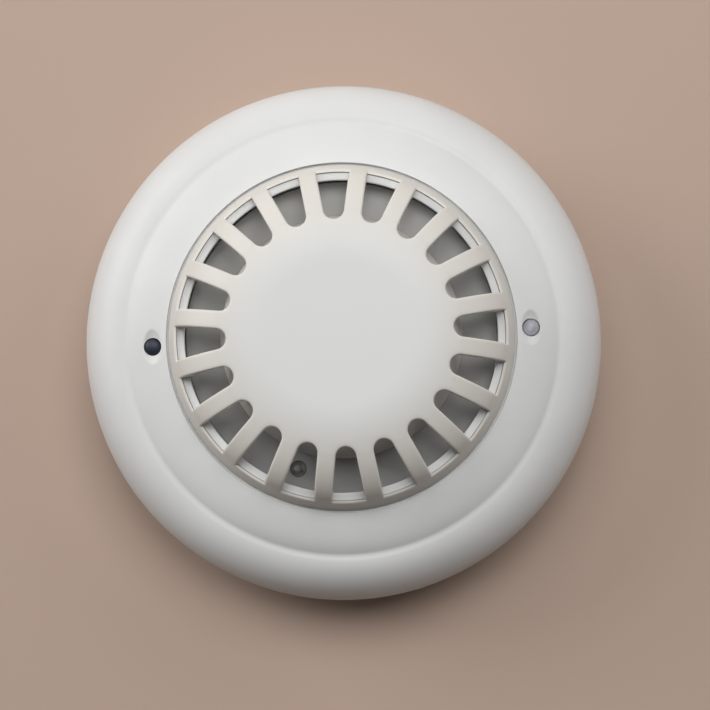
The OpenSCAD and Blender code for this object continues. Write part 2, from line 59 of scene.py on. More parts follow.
# ---- The room ----
# A plain pale bench top in a dim room. Wide soft lamps stand round its far side and
# to the left, some low and some high, so the near right of the object lies in shade.
cover_low, cover_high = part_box("front_cover")
centre = (cover_low + cover_high) / 2
bench_half = 1.6
bench_mesh = bpy.data.meshes.new("bench_top")
bench_mesh.from_pydata([(-bench_half, -bench_half, 0), (bench_half, -bench_half, 0),
                        (bench_half, bench_half, 0), (-bench_half, bench_half, 0)], [], [(0, 1, 2, 3)])
bench_top = bpy.data.objects.new("bench_top", bench_mesh)
bpy.context.scene.collection.objects.link(bench_top)
bench_top.location.z = cad_box[0].z
bench_paint = bpy.data.materials.new("bench_paint")
bench_paint.use_nodes = True
bench_shader = bench_paint.node_tree.nodes["Principled BSDF"]
bench_shader.inputs["Base Color"].default_value = (0.50, 0.375, 0.305, 1)
bench_shader.inputs["Roughness"].default_value = 0.8
bench_top.data.materials.append(bench_paint)


def soft_lamp(name, place, size, power, colour):
    """A round soft lamp at a place, turned to the middle of the object."""
    lamp = bpy.data.lights.new(name, "AREA")
    lamp.shape = "DISK"
    lamp.size = size
    lamp.energy = power
    lamp.color = colour
    holder = bpy.data.objects.new(name, lamp)
    holder.location = place
    holder.rotation_euler = (centre - Vector(place)).to_track_quat("-Z", "Y").to_euler()
    bpy.context.scene.collection.objects.link(holder)


lamp_reach, lamp_size, lamp_tint = 1.0, 0.6, (1.0, 0.99, 0.98)
for name, height_angle, side_angle, power in (
        ("low_right_lamp", 25, 30, 1.92), ("low_far_lamp", 25, 90, 0.68), ("low_left_lamp", 25, 150, 4.57),
        ("low_side_lamp", 25, 180, 0.43), ("near_right_lamp", 45, 330, 0.51),
        ("high_right_lamp", 65, 60, 3.95), ("high_left_lamp", 65, 120, 2.32)):
    height, side = math.radians(height_angle), math.radians(side_angle)
    place = Vector((math.cos(height) * math.cos(side), math.cos(height) * math.sin(side), math.sin(height)))
    soft_lamp(name, place * lamp_reach + Vector((0, 0, 20 * mm)), lamp_size, power, lamp_tint)
room = bpy.data.worlds.new("room")
room.use_nodes = True
room.node_tree.nodes["Background"].inputs["Color"].default_value = (0.97, 0.98, 1.0, 1)
room.node_tree.nodes["Background"].inputs["Strength"].default_value = 0.01
bpy.context.scene.world = room
bpy.context.scene.view_settings.view_transform = "Standard"

# ---- The camera ----
# It looks down almost square on to the face from a hand's height, a little below
# the centre of the picture, and is turned so that the lamp side sits slightly high.
lean = -2.87
turn = Matrix.Rotation(math.radians(lean), 3, "Z")
eye = turn @ Vector((11.0, -28.0, 420.0)) * mm
target = turn @ Vector((2.34, -2.68, 12.0)) * mm
camera_data = bpy.data.cameras.new("camera")
camera_data.sensor_width = 36
camera_data.lens = 103.4
camera = bpy.data.objects.new("camera", camera_data)
bpy.context.scene.collection.objects.link(camera)
back = (eye - target).normalized()
right = (turn @ Vector((0, 1, 0))).cross(back).normalized()
camera.matrix_world = Matrix.Translation(eye) @ Matrix((right, back.cross(right), back)).transposed().to_4x4()
bpy.context.scene.camera = camera

# ---- Mounting base ----
# A shallow dish moulded in white ABS. It screws to the ceiling through two slots,
# and three hooks on its floor hold the lugs of the head.
base_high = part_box("mounting_base")[1]
base_radius = cover_high.x - 1.5 * mm
base_height = base_high.z
base_wall = 1.8 * mm
base_floor = 2.2 * mm
entry_radius = 12 * mm
entry_lip = 1.6 * mm
slot_place = 30 * mm


def rounded(corners, steps=4):
    """A closed outline through corners (x, y) or (x, y, radius), each turned with its radius."""
    points = []
    for i, corner in enumerate(corners):
        here = Vector(corner[:2])
        radius = corner[2] if len(corner) > 2 else 0
        before = Vector(corners[i - 1][:2]) - here
        after = Vector(corners[(i + 1) % len(corners)][:2]) - here
        if not radius or before.angle(after) > math.radians(179):
            points.append(here)
            continue
        reach = min(radius / math.tan(before.angle(after) / 2), before.length * 0.49, after.length * 0.49)
        start = here + before.normalized() * reach
        end = here + after.normalized() * reach
        for step in range(steps + 1):
            t = step / steps
            points.append(start * (1 - t) ** 2 + here * 2 * t * (1 - t) + end * t ** 2)
    return points


def arc(middle, radius, start, end, steps):
    """Points on a circle's arc between two angles in degrees."""
    angles = [math.radians(start + (end - start) * i / steps) for i in range(steps + 1)]
    return [Vector((middle[0] + radius * math.cos(a), middle[1] + radius * math.sin(a))) for a in angles]


def disc(radius, steps=23):
    """The outline of a round hole or pillar."""
    return arc((0, 0), radius, 0, 360 * steps / (steps + 1), steps)


def shade(piece, soft_angle=35):
    """Smooth shading, with every edge steeper than soft_angle kept sharp."""
    bm = bmesh.new()
    bm.from_mesh(piece.data)
    for face in bm.faces:
        face.smooth = True
    for edge in bm.edges:
        edge.smooth = len(edge.link_faces) == 2 and edge.calc_face_angle(0) < math.radians(soft_angle)
    bm.to_mesh(piece.data)
    bm.free()


def new_piece(name, bm):
    """A Blender object from a bmesh, with its faces turned out."""
    bmesh.ops.remove_doubles(bm, verts=bm.verts, dist=0.002 * mm)
    bmesh.ops.recalc_face_normals(bm, faces=bm.faces)
    mesh = bpy.data.meshes.new(name)
    bm.to_mesh(mesh)
    bm.free()
    piece = bpy.data.objects.new(name, mesh)
    bpy.context.scene.collection.objects.link(piece)
    shade(piece)
    return piece


def turned(outline, angles=192):
    """A bmesh turned about Z from a closed outline of (radius, height) points."""
    bm = bmesh.new()
    if isinstance(angles, int):
        angles = [2 * math.pi * i / angles for i in range(angles)]
    rings = [[bm.verts.new((r * math.cos(a), r * math.sin(a), z)) for r, z in outline] for a in angles]
    for i, here in enumerate(rings):
        there = rings[(i + 1) % len(rings)]
        for j in range(len(outline)):
            k = (j + 1) % len(outline)
            if max(outline[j][0], outline[k][0]) > 1e-7:
                bm.faces.new((here[j], there[j], there[k], here[k]))
    bmesh.ops.remove_doubles(bm, verts=bm.verts, dist=0.001 * mm)
    return bm


def around(angle, radius=0.0, height=0.0):
    """A place at a distance from the middle, at an angle in degrees from the status lamp."""
    return Matrix.Rotation(math.radians(angle), 4, "Z") @ Matrix.Translation((radius, 0, height))


def raised(outline, low, high, place=Matrix.Identity(4)):
    """A bmesh raised from a closed flat outline between two heights, and then placed."""
    bm = bmesh.new()
    floor = bm.faces.new([bm.verts.new((x, y, low)) for x, y in outline])
    made = bmesh.ops.extrude_face_region(bm, geom=[floor])["geom"]
    top = [item for item in made if isinstance(item, bmesh.types.BMVert)]
    bmesh.ops.translate(bm, verts=top, vec=(0, 0, high - low))
    bm.transform(place)
    bmesh.ops.recalc_face_normals(bm, faces=bm.faces)
    return bm


def together(*shapes):
    """One bmesh from several."""
    whole = bmesh.new()
    for shape in shapes:
        copy = bpy.data.meshes.new("copy")
        shape.to_mesh(copy)
        shape.free()
        whole.from_mesh(copy)
        bpy.data.meshes.remove(copy)
    return whole


def combine(piece, operation, shape):
    """Cuts a bmesh out of a piece (DIFFERENCE), or makes it one with the piece (UNION)."""
    tool = new_piece("tool", shape)
    change = piece.modifiers.new("combine", "BOOLEAN")
    change.object = tool
    change.operation = operation
    change.solver = "EXACT"
    bpy.context.view_layer.update()
    result = bpy.data.meshes.new_from_object(piece.evaluated_get(bpy.context.evaluated_depsgraph_get()))
    piece.modifiers.clear()
    piece.data = result
    bpy.data.objects.remove(tool)


def ring_block(inner, outer, span, steps=12):
    """The flat outline of a block on a ring, centred on X, over a span in degrees."""
    return arc((0, 0), outer, -span / 2, span / 2, steps) + arc((0, 0), inner, span / 2, -span / 2, steps)


def oblong(length, width, radius):
    """The outline of an oblong with round corners, centred."""
    x, y = length / 2, width / 2
    return rounded([(-x, -y, radius), (x, -y, radius), (x, y, radius), (-x, y, radius)], 8)


def soft_edges(piece, width, angle=40, segments=3):
    """Rounds every edge of a piece that is steeper than an angle, as a mould does."""
    edge = piece.modifiers.new("soft_edges", "BEVEL")
    edge.width = width
    edge.segments = segments
    edge.limit_method = "ANGLE"
    edge.angle_limit = math.radians(angle)
    edge.harden_normals = True


def moulded(name, colour, rough=0.48, grain=0.32, relief=0.014, mottle=0.035):
    """Spark-finished moulded plastic: a faint cloudy colour, an even fine grain and a sheen that varies."""
    material = bpy.data.materials.new(name)
    material.use_nodes = True
    tree = material.node_tree
    shader = tree.nodes["Principled BSDF"]
    shader.inputs["IOR"].default_value = 1.53
    place = tree.nodes.new("ShaderNodeTexCoord")

    def noise(scale, detail):
        node = tree.nodes.new("ShaderNodeTexNoise")
        node.inputs["Scale"].default_value = scale
        node.inputs["Detail"].default_value = detail
        tree.links.new(place.outputs["Object"], node.inputs["Vector"])
        return node.outputs["Fac"]

    cloud = tree.nodes.new("ShaderNodeValToRGB")
    cloud.name = "cloud"
    cloud.color_ramp.elements[0].position = 0.3
    cloud.color_ramp.elements[1].position = 0.7
    cloud.color_ramp.elements[0].color = (*[c * (1 - mottle) for c in colour], 1)
    cloud.color_ramp.elements[1].color = (*[min(1, c * (1 + mottle / 2)) for c in colour], 1)
    tree.links.new(noise(55, 4), cloud.inputs["Fac"])
    tree.links.new(cloud.outputs["Color"], shader.inputs["Base Color"])
    sheen = tree.nodes.new("ShaderNodeMapRange")
    sheen.inputs["To Min"].default_value = rough - 0.07
    sheen.inputs["To Max"].default_value = rough + 0.09
    tree.links.new(noise(420, 3), sheen.inputs["Value"])
    tree.links.new(sheen.outputs["Result"], shader.inputs["Roughness"])
    bump = tree.nodes.new("ShaderNodeBump")
    bump.inputs["Strength"].default_value = 0.35
    bump.inputs["Distance"].default_value = relief * mm
    tree.links.new(noise(1 / (grain * mm), 2), bump.inputs["Height"])
    tree.links.new(bump.outputs["Normal"], shader.inputs["Normal"])
    return material


def finish(piece, material, body, slot, *nodes):
    """Gives a new piece its material and body, and lets it stand for its nodes; slot is not used."""
    piece.data.materials.clear()
    piece.data.materials.append(material)
    for face in piece.data.polygons:
        face.material_index = 0
    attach(piece, body)
    if nodes:
        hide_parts(*nodes)


base_plastic = moulded("base_plastic", (0.72, 0.725, 0.70), rough=0.52)
fillet = 0.35 * mm
mounting_base = new_piece("base_moulding", turned(rounded([
    (entry_radius, 0, fillet), (base_radius, 0, 2 * fillet), (base_radius, base_height, fillet),
    (base_radius - base_wall, base_height, fillet), (base_radius - base_wall, base_floor, fillet),
    (entry_radius + entry_lip, base_floor, fillet / 2),
    (entry_radius + entry_lip, base_floor + 2 * mm, fillet),
    (entry_radius, base_floor + 2 * mm, fillet)])))
hook_outer = base_radius - base_wall - 3.6 * mm
hook_inner = hook_outer - 1.6 * mm
lip_inner = hook_inner - 2.7 * mm
hook_top = base_height - 1.2 * mm
hook_foot = base_floor - 0.1 * mm
hook_lip = 1.6 * mm
hook_span, stop_span, stop_turn = 18, 2.4, 9.6
hook_angles = (75, 195, 315)
for angle in hook_angles:
    for block, low, turn_by in (
            (ring_block(hook_inner, hook_outer, hook_span), hook_foot, angle),
            (ring_block(lip_inner, hook_inner + 1 * mm, hook_span), hook_top - hook_lip, angle),
            (ring_block(lip_inner, hook_outer, stop_span, 3), hook_foot, angle - stop_turn)):
        combine(mounting_base, "UNION", raised(block, low, hook_top, around(turn_by)))
terminal_ring = 30 * mm
terminal_angles = [24 + 90 * i for i in range(4)]
contact_angles = [40 + 90 * i for i in range(4)]
strip_foot = base_floor + 2 * mm
bosses = [raised(oblong(9 * mm, 9 * mm, 0.6 * mm), hook_foot, strip_foot, around(a, terminal_ring))
          for a in terminal_angles]
combine(mounting_base, "UNION", together(*bosses))
nub_angle, nub_length, nub_reach = 284.4, 3 * mm, 0.4 * mm
nub_place = around(nub_angle, cover_high.x + nub_reach - nub_length / 2)
combine(mounting_base, "UNION", raised(oblong(nub_length, 2.2 * mm, 0.5 * mm), 1.4 * mm, 7 * mm, nub_place))
relief_inner, relief_outer, rib_half = entry_radius + 4 * mm, base_radius - 4 * mm, 1 * mm
for middle in range(0, 360, 60):
    reach_in = 30 - math.degrees(math.asin(rib_half / relief_inner))
    reach_out = 30 - math.degrees(math.asin(rib_half / relief_outer))
    pocket = arc((0, 0), relief_outer, -reach_out, reach_out, 16)
    pocket += arc((0, 0), relief_inner, reach_in, -reach_in, 10)
    combine(mounting_base, "DIFFERENCE", raised(pocket, -1 * mm, 0.7 * mm, around(middle)))
for side in (0, 180):
    combine(mounting_base, "UNION", raised(disc(7.5 * mm, 39), 0, 0.8 * mm, around(side, slot_place)))
    combine(mounting_base, "DIFFERENCE", raised(oblong(10 * mm, 4.5 * mm, 2.24 * mm), -1 * mm, 3 * mm,
                                                around(side, slot_place)))
shade(mounting_base)
soft_edges(mounting_base, 0.15 * mm, 50, 2)
finish(mounting_base, base_plastic, "base", "base_plastic", "mounting_base")

# ---- Contact leaves, wire clamps and terminal screws ----
# Four brass strips are clamped to bosses on the base, each by a square steel clamp
# and a cross-head screw, which also take the wires. A blade on the head wipes each strip.


def metal(name, colour, rough, streak):
    """Rolled or plated metal: fine scratches along the rolling, and a clouded tint."""
    material = bpy.data.materials.new(name)
    material.use_nodes = True
    tree = material.node_tree
    shader = tree.nodes["Principled BSDF"]
    shader.inputs["Metallic"].default_value = 1.0
    place = tree.nodes.new("ShaderNodeTexCoord")
    stretch = tree.nodes.new("ShaderNodeMapping")
    stretch.inputs["Scale"].default_value = (1, streak, 1)
    tree.links.new(place.outputs["Object"], stretch.inputs["Vector"])
    grain = tree.nodes.new("ShaderNodeTexNoise")
    grain.inputs["Scale"].default_value = 900
    grain.inputs["Detail"].default_value = 3
    tree.links.new(stretch.outputs["Vector"], grain.inputs["Vector"])
    tint = tree.nodes.new("ShaderNodeTexNoise")
    tint.inputs["Scale"].default_value = 180
    tree.links.new(place.outputs["Object"], tint.inputs["Vector"])
    ramp = tree.nodes.new("ShaderNodeValToRGB")
    ramp.color_ramp.elements[0].color = (*[c * 0.82 for c in colour], 1)
    ramp.color_ramp.elements[1].color = (*colour, 1)
    tree.links.new(tint.outputs["Fac"], ramp.inputs["Fac"])
    tree.links.new(ramp.outputs["Color"], shader.inputs["Base Color"])
    sheen = tree.nodes.new("ShaderNodeMapRange")
    sheen.inputs["To Min"].default_value = rough * 0.7
    sheen.inputs["To Max"].default_value = rough * 1.4
    tree.links.new(grain.outputs["Fac"], sheen.inputs["Value"])
    tree.links.new(sheen.outputs["Result"], shader.inputs["Roughness"])
    bump = tree.nodes.new("ShaderNodeBump")
    bump.inputs["Strength"].default_value = 0.25
    bump.inputs["Distance"].default_value = 0.008 * mm
    tree.links.new(grain.outputs["Fac"], bump.inputs["Height"])
    tree.links.new(bump.outputs["Normal"], shader.inputs["Normal"])
    return material


def dress(node, material, edge=0.0):
    """Gives a node of the frame its material, and rounds its edges a little."""
    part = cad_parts[node]
    part.data.materials.clear()
    part.data.materials.append(material)
    if edge:
        soft_edges(part, edge, 50, 2)


def pressed(node, name, material, body, slot, make, angles, edge, segments=2):
    """Like pieces at several angles in one mesh, with slightly rounded edges."""
    copies = []
    for angle in angles:
        shape = make()
        shape.transform(around(angle))
        copies.append(shape)
    piece = new_piece(name, together(*copies))
    soft_edges(piece, edge, 40, segments)
    finish(piece, material, body, slot, node)
    return piece


brass = metal("contact_brass", (0.80, 0.60, 0.27), 0.28, 0.15)
zinc = metal("zinc_steel", (0.66, 0.67, 0.69), 0.34, 0.4)
strip_thick = 0.6 * mm
clamp_top = strip_foot + strip_thick + 1 * mm
dress("contact_springs", brass)


def clamp():
    """A square clamp plate with its screw hole filled by the screw."""
    return raised(oblong(7.6 * mm, 7.6 * mm, 0.5 * mm), strip_foot + strip_thick + 0.01 * mm, clamp_top,
                  around(0, terminal_ring))


def cross_head(radius, height, depth, arm, width):
    """A pan head with a cross recess for a screwdriver, standing on its seat at zero."""
    outline = rounded([(0, 0), (radius, 0, 0.1 * mm), (radius, height, height * 0.6), (0, height)], 6)
    head = new_piece("head", turned(outline, 48))
    for turn_by in (0, 90):
        slot = raised(oblong(arm, width, width * 0.3), height - depth, height + 1 * mm,
                      Matrix.Rotation(math.radians(turn_by), 4, "Z"))
        combine(head, "DIFFERENCE", slot)
    bm = bmesh.new()
    bm.from_mesh(head.data)
    bpy.data.objects.remove(head)
    return bm


def terminal_screw():
    """The pan head and shank of a terminal screw."""
    head = cross_head(2.9 * mm, 1.9 * mm, 0.9 * mm, 3.8 * mm, 0.75 * mm)
    head.transform(around(0, terminal_ring, clamp_top + 0.005 * mm))
    shank_radius, tip = 1.5 * mm, base_floor - 0.4 * mm
    shank = turned([(0, tip), (shank_radius, tip), (shank_radius, clamp_top), (0, clamp_top)], 32)
    shank.transform(around(0, terminal_ring))
    return together(head, shank)


pressed("wire_clamps", "terminal_clamps", zinc, "base", "zinc_steel", clamp, terminal_angles, 0.12 * mm)
pressed("terminal_screws", "terminal_screw_set", zinc, "base", "zinc_steel", terminal_screw, terminal_angles,
        0.05 * mm)

# ---- Rear housing ----
# A white ABS disc that closes the back of the head. Three lugs on it turn under the
# hooks of the base, and three sunk screws hold it to the cover.
housing_low, housing_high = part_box("rear_housing")
housing_floor = cover_low.z + 0.4 * mm
housing_plate = 2 * mm
housing_radius = housing_high.x
board_low, board_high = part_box("circuit_board")
screw_ring = board_high.x - 3.5 * mm
screw_angles = (90, 210, 330)
lip_radius = base_radius - base_wall - 0.4 * mm
housing_top = housing_floor + housing_plate
housing_wall = 1.6 * mm
lip_foot = base_height - 1 * mm
wall_top = housing_high.z - 1.4 * mm
rear_housing = new_piece("rear_housing_moulding", turned(rounded([
    (0, housing_floor), (lip_radius - housing_wall, housing_floor, 0.2 * mm),
    (lip_radius - housing_wall, lip_foot, fillet), (lip_radius, lip_foot, fillet),
    (lip_radius, housing_floor, 0.1 * mm), (housing_radius, housing_floor, fillet),
    (housing_radius, wall_top, fillet), (housing_radius - housing_wall, wall_top, fillet),
    (housing_radius - housing_wall, housing_top, 0.2 * mm), (0, housing_top)])))
lug_outer = hook_inner - 0.4 * mm
lug_top = hook_top - hook_lip - 0.3 * mm
lug_foot = lug_top - 1.6 * mm
lug_span = 16
post_outer = lip_inner - 0.4 * mm
post_inner = post_outer - 2.4 * mm

for angle in hook_angles:
    for block, high in ((ring_block(post_inner, lug_outer, lug_span), lug_top),
                        (ring_block(post_inner, post_outer, lug_span), housing_floor + 0.1 * mm)):
        combine(rear_housing, "UNION", raised(block, lug_foot, high, around(angle)))
screw_sink = 1.9 * mm
for angle in screw_angles:
    here = around(angle, screw_ring)
    for operation, radius, low, high in (
            ("UNION", 3.5 * mm, housing_floor + 0.1 * mm, board_low.z),
            ("DIFFERENCE", 2.6 * mm, housing_floor - 1 * mm, housing_floor + screw_sink),
            ("DIFFERENCE", 1.4 * mm, housing_floor, board_high.z)):
        combine(rear_housing, operation, raised(disc(radius), low, high, here))
for angle in contact_angles:
    here = around(angle, terminal_ring)
    rivet_hole = raised(disc(1.22 * mm), housing_floor - 1 * mm, housing_top + 1 * mm, here)
    combine(rear_housing, "DIFFERENCE", rivet_hole)
shade(rear_housing)
soft_edges(rear_housing, 0.12 * mm, 50, 2)
finish(rear_housing, base_plastic, "head", "base_plastic", "rear_housing")

# ---- Contact blades, rivets and housing screws ----
# Each blade is a brass angle held to the rear housing by a steel rivet, which also
# carries the current up to the board. The screws are self-tapping, with a cross recess.
blade_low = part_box("contact_blades")[0]
blade_thick = 0.8 * mm
blade_half = 3.5 * mm
strip_wide = 5 * mm


def blade():
    """A brass angle: a foot under the housing, and a bent-down tab with a rounded bend."""
    bend = 0.9 * mm
    tab_inner, foot = blade_half - blade_thick, housing_floor - blade_thick
    outline = rounded([
        (-blade_half, housing_floor), (-blade_half, foot, 0.2 * mm), (tab_inner, foot, 0.3 * mm),
        (tab_inner, blade_low.z, 0.3 * mm), (blade_half, blade_low.z, 0.3 * mm),
        (blade_half, housing_floor, bend)], 5)
    shape = raised(outline, -strip_wide / 2, strip_wide / 2)
    shape.transform(Matrix(((0, 0, 1, terminal_ring), (1, 0, 0, 0), (0, 1, 0, 0), (0, 0, 0, 1))))
    return shape


def rivet():
    """A rivet with a domed head below the blade and a shank up through the board."""
    foot = housing_floor - blade_thick
    head_foot, head_top, tip = foot - 0.8 * mm, foot - 0.01 * mm, board_high.z + 0.8 * mm
    head_radius, shank_radius = 2 * mm, 1.2 * mm
    shape = turned(rounded([
        (0, head_foot), (head_radius, head_foot, 0.6 * mm), (head_radius, head_top), (shank_radius, head_top),
        (shank_radius, tip, 0.3 * mm), (0, tip)], 5), 40)
    shape.transform(around(0, terminal_ring))
    return shape


def housing_screw():
    """A self-tapping screw, head down, sunk in the housing."""
    seat = housing_floor + screw_sink
    head = cross_head(2.4 * mm, 1.7 * mm, 0.8 * mm, 3 * mm, 0.65 * mm)
    head.transform(around(0, screw_ring, seat) @ Matrix.Rotation(math.pi, 4, "X"))
    tip = board_high.z + 5 * mm
    root, crest, pitch = 0.95 * mm, 1.25 * mm, 0.9 * mm
    outline = [(0, seat - 0.05 * mm), (root, seat - 0.05 * mm)]
    turns = int((tip - seat - 0.6 * mm) / pitch)
    for i in range(turns):
        z = seat + 0.2 * mm + i * pitch
        outline += [(root, z), (crest, z + 0.35 * pitch), (root, z + 0.7 * pitch)]
    outline += [(0.4 * mm, tip - 0.1 * mm), (0, tip)]
    shank = turned(outline, 32)
    shank.transform(around(0, screw_ring))
    return together(head, shank)


for node, name, material, slot, make, angles, edge in (
        ("contact_blades", "contact_blade_set", brass, "contact_brass", blade, contact_angles, 0.06 * mm),
        ("contact_rivets", "contact_rivet_set", zinc, "zinc_steel", rivet, contact_angles, 0.04 * mm),
        ("housing_screws", "housing_screw_set", zinc, "zinc_steel", housing_screw, screw_angles, 0.04 * mm)):
    pressed(node, name, material, "head", slot, make, angles, edge)

# ---- Rear label ----
# A blank round paper label on the back of the head, with a coated face.
label_low, label_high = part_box("rear_label")
paper = moulded("label_paper", (0.80, 0.80, 0.78), rough=0.6, grain=0.15, relief=0.01, mottle=0.02)
rear_label = new_piece("blank_label", turned(rounded([
    (0, label_low.z), (label_high.x, label_low.z, 0.05 * mm), (label_high.x, label_high.z, 0.05 * mm),
    (0, label_high.z)]), 128))
finish(rear_label, paper, "head", "label_paper", "rear_label")

# ---- Circuit board and its parts ----
# A round glass laminate board with green solder mask. Machines place its small parts,
# which are soldered; the capacitor, chip, rectifier and suppressor are its largest ones.


def mask_material():
    """Green solder mask over faint copper tracks, with a gloss that varies."""
    material = moulded("board_laminate", (0.03, 0.16, 0.07), rough=0.3, grain=0.6, relief=0.01, mottle=0.2)
    tree = material.node_tree
    shader = tree.nodes["Principled BSDF"]
    place = tree.nodes.new("ShaderNodeTexCoord")
    tracks = tree.nodes.new("ShaderNodeTexBrick")
    tracks.inputs["Scale"].default_value = 160
    tracks.inputs["Color1"].default_value = (0.035, 0.19, 0.08, 1)
    tracks.inputs["Color2"].default_value = (0.028, 0.14, 0.06, 1)
    tracks.inputs["Mortar"].default_value = (0.06, 0.26, 0.12, 1)
    tracks.inputs["Mortar Size"].default_value = 0.02
    tree.links.new(place.outputs["Object"], tracks.inputs["Vector"])
    blend = tree.nodes.new("ShaderNodeMix")
    blend.data_type = "RGBA"
    blend.inputs["Factor"].default_value = 0.6
    tree.links.new(tree.nodes["cloud"].outputs["Color"], blend.inputs[6])
    tree.links.new(tracks.outputs["Color"], blend.inputs[7])
    tree.links.new(blend.outputs[2], shader.inputs["Base Color"])
    return material


board_mask = mask_material()
black_epoxy = moulded("black_epoxy", (0.018, 0.018, 0.02), rough=0.55, grain=0.12, relief=0.02, mottle=0.25)
can_metal = metal("capacitor_can", (0.62, 0.64, 0.67), 0.25, 1)
chip_ceramic = moulded("ceramic_chip", (0.42, 0.33, 0.23), rough=0.5, grain=0.1, relief=0.01, mottle=0.25)
green_epoxy = moulded("green_bead", (0.03, 0.16, 0.10), rough=0.25, grain=0.4, relief=0.01, mottle=0.15)
dress("circuit_board", board_mask)
dress("controller_chip", black_epoxy, 0.05 * mm)
dress("storage_capacitor", can_metal, 0.15 * mm)
dress("bridge_rectifier", black_epoxy, 0.1 * mm)
dress("surge_suppressor", black_epoxy, 0.1 * mm)
dress("chip_parts", chip_ceramic, 0.06 * mm)
dress("reference_thermistor", green_epoxy)

# ---- Sensing deck ----
# A grey ABS plate under the grille that keeps draughts off the board. It stands on
# three legs, and one small port in it lets the sensor through.
deck_low, deck_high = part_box("sensor_deck")
deck_face = deck_high.z
deck_under = deck_face - 2 * mm
deck_flange = deck_high.x
port_angle = 249
port_ring = 26.875 * mm
port_radius = 1.6 * mm
deck_plastic = moulded("deck_plastic", (0.38, 0.38, 0.375), rough=0.5, grain=0.35, relief=0.02, mottle=0.06)
deck_radius = deck_flange - 2.65 * mm
grommet_lip = 0.4 * mm
flange_inner = port_ring + port_radius + grommet_lip + 0.15 * mm
flange_low, flange_high = deck_under - 1.4 * mm, deck_under + 0.2 * mm
deck = new_piece("deck_plate", turned(rounded([
    (0, deck_under), (flange_inner, deck_under, 0.1 * mm), (flange_inner, flange_low, 0.2 * mm),
    (deck_flange, flange_low, fillet), (deck_flange, flange_high, fillet),
    (deck_radius, flange_high, 0.3 * mm), (deck_radius, deck_face, fillet), (0, deck_face)])))
for angle in (30, 150, 270):
    leg = raised(disc(1.6 * mm), board_high.z, flange_low + 0.2 * mm, around(angle, deck_flange - 2 * mm))
    combine(deck, "UNION", leg)
port = around(port_angle, port_ring)
combine(deck, "DIFFERENCE", raised(disc(port_radius, 35), deck_low.z, deck_face + 1 * mm, port))
shade(deck)
soft_edges(deck, 0.15 * mm, 50, 3)
finish(deck, deck_plastic, "head", "deck_plastic", "sensor_deck")

# ---- Thermistor, its leads and its grommet ----
# The sensor is a hard grey epoxy bead on two tinned wires. They come up from the
# board through a grey rubber grommet that seals the port.
bead_low, bead_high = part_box("thermistor_bead")
bead_radius = (bead_high.x - bead_low.x) / 2
rubber = moulded("grommet_rubber", (0.26, 0.26, 0.265), rough=0.7, grain=0.2, relief=0.02, mottle=0.2)
bead_epoxy = moulded("bead_coating", (0.30, 0.30, 0.295), rough=0.5, grain=0.5, relief=0.01, mottle=0.1)
tinned = metal("tinned_wire", (0.72, 0.72, 0.73), 0.3, 1)
lead_half_pitch = 0.5 * mm
grommet_top = deck_face - 0.4 * mm
bead_middle = (0, bead_high.z - bead_radius)
bead = new_piece("sensor_bead", turned([(0, bead_low.z)] + arc(bead_middle, bead_radius, -44, 90, 18), 48))
bead.data.transform(port)
finish(bead, bead_epoxy, "head", "bead_coating", "thermistor_bead")
seat_gap = 0.02 * mm
lip_low, lip_high, lip_outer = deck_under - 0.8 * mm, deck_under - seat_gap, port_radius + grommet_lip
grommet = new_piece("port_grommet", turned(rounded([
    (0, lip_low), (lip_outer, lip_low, 0.2 * mm), (lip_outer, lip_high, 0.1 * mm),
    (port_radius - seat_gap, lip_high),
    (port_radius - seat_gap, grommet_top, 0.25 * mm), (0.9 * mm, grommet_top - 0.35 * mm, 0.3 * mm),
    (0, grommet_top - 0.35 * mm)], 5), 48))
grommet.data.transform(port)
for side in (-1, 1):
    hole = raised(disc(0.245 * mm, 11), deck_low.z, deck_high.z + 1 * mm,
                  port @ Matrix.Translation((0, side * lead_half_pitch, 0)))
    combine(grommet, "DIFFERENCE", hole)
shade(grommet)
finish(grommet, rubber, "head", "grommet_rubber", "sensor_grommet")


def wire(points, radius=0.225 * mm):
    """A round wire through points, as a smooth curve with flat ends."""
    curve = bpy.data.curves.new("wire", "CURVE")
    curve.dimensions = "3D"
    curve.bevel_depth = radius
    curve.bevel_resolution = 4
    curve.use_fill_caps = True
    curve.resolution_u = 6
    line = curve.splines.new("BEZIER")
    line.bezier_points.add(len(points) - 1)
    for knot, point in zip(line.bezier_points, points):
        knot.co = point
        knot.handle_left_type = knot.handle_right_type = "AUTO"
    holder = bpy.data.objects.new("wire", curve)
    bpy.context.scene.collection.objects.link(holder)
    bpy.context.view_layer.update()
    bm = bmesh.new()
    made = bpy.data.meshes.new_from_object(holder.evaluated_get(bpy.context.evaluated_depsgraph_get()))
    bm.from_mesh(made)
    bpy.data.objects.remove(holder)
    return bm


def lead_pair(node, name, half_pitch, angle, radius, low, high, joggle):
    """Two wires side by side, each with a small set in it where it was formed."""
    pair = []
    for side in (-1, 1):
        y = side * half_pitch
        heights = [low, low + (high - low) * 0.3, low + (high - low) * 0.45, low + (high - low) * 0.6, high]
        shifts = [0, 0, joggle, 0, 0]
        shape = wire([(shift, y, z) for shift, z in zip(shifts, heights)])
        shape.transform(around(angle, radius))
        pair.append(shape)
    piece = new_piece(name, together(*pair))
    finish(piece, tinned, "head", "tinned_wire", node)


lead_low, lead_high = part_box("thermistor_leads")
lead_pair("thermistor_leads", "sensor_wires", lead_half_pitch, port_angle, port_ring,
          lead_low.z, lead_high.z, 0)

# ---- Status lamp and infrared receiver ----
# Two 3 mm class lens bodies stand on the board on nylon spacers, and their tops look
# out through the cover. The lamp is clear, slightly frosted epoxy; the receiver is dark.
lamp_low, lamp_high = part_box("status_led")
lens_ring = (lamp_low.x + lamp_high.x) / 2
lens_radius = 1.6 * mm


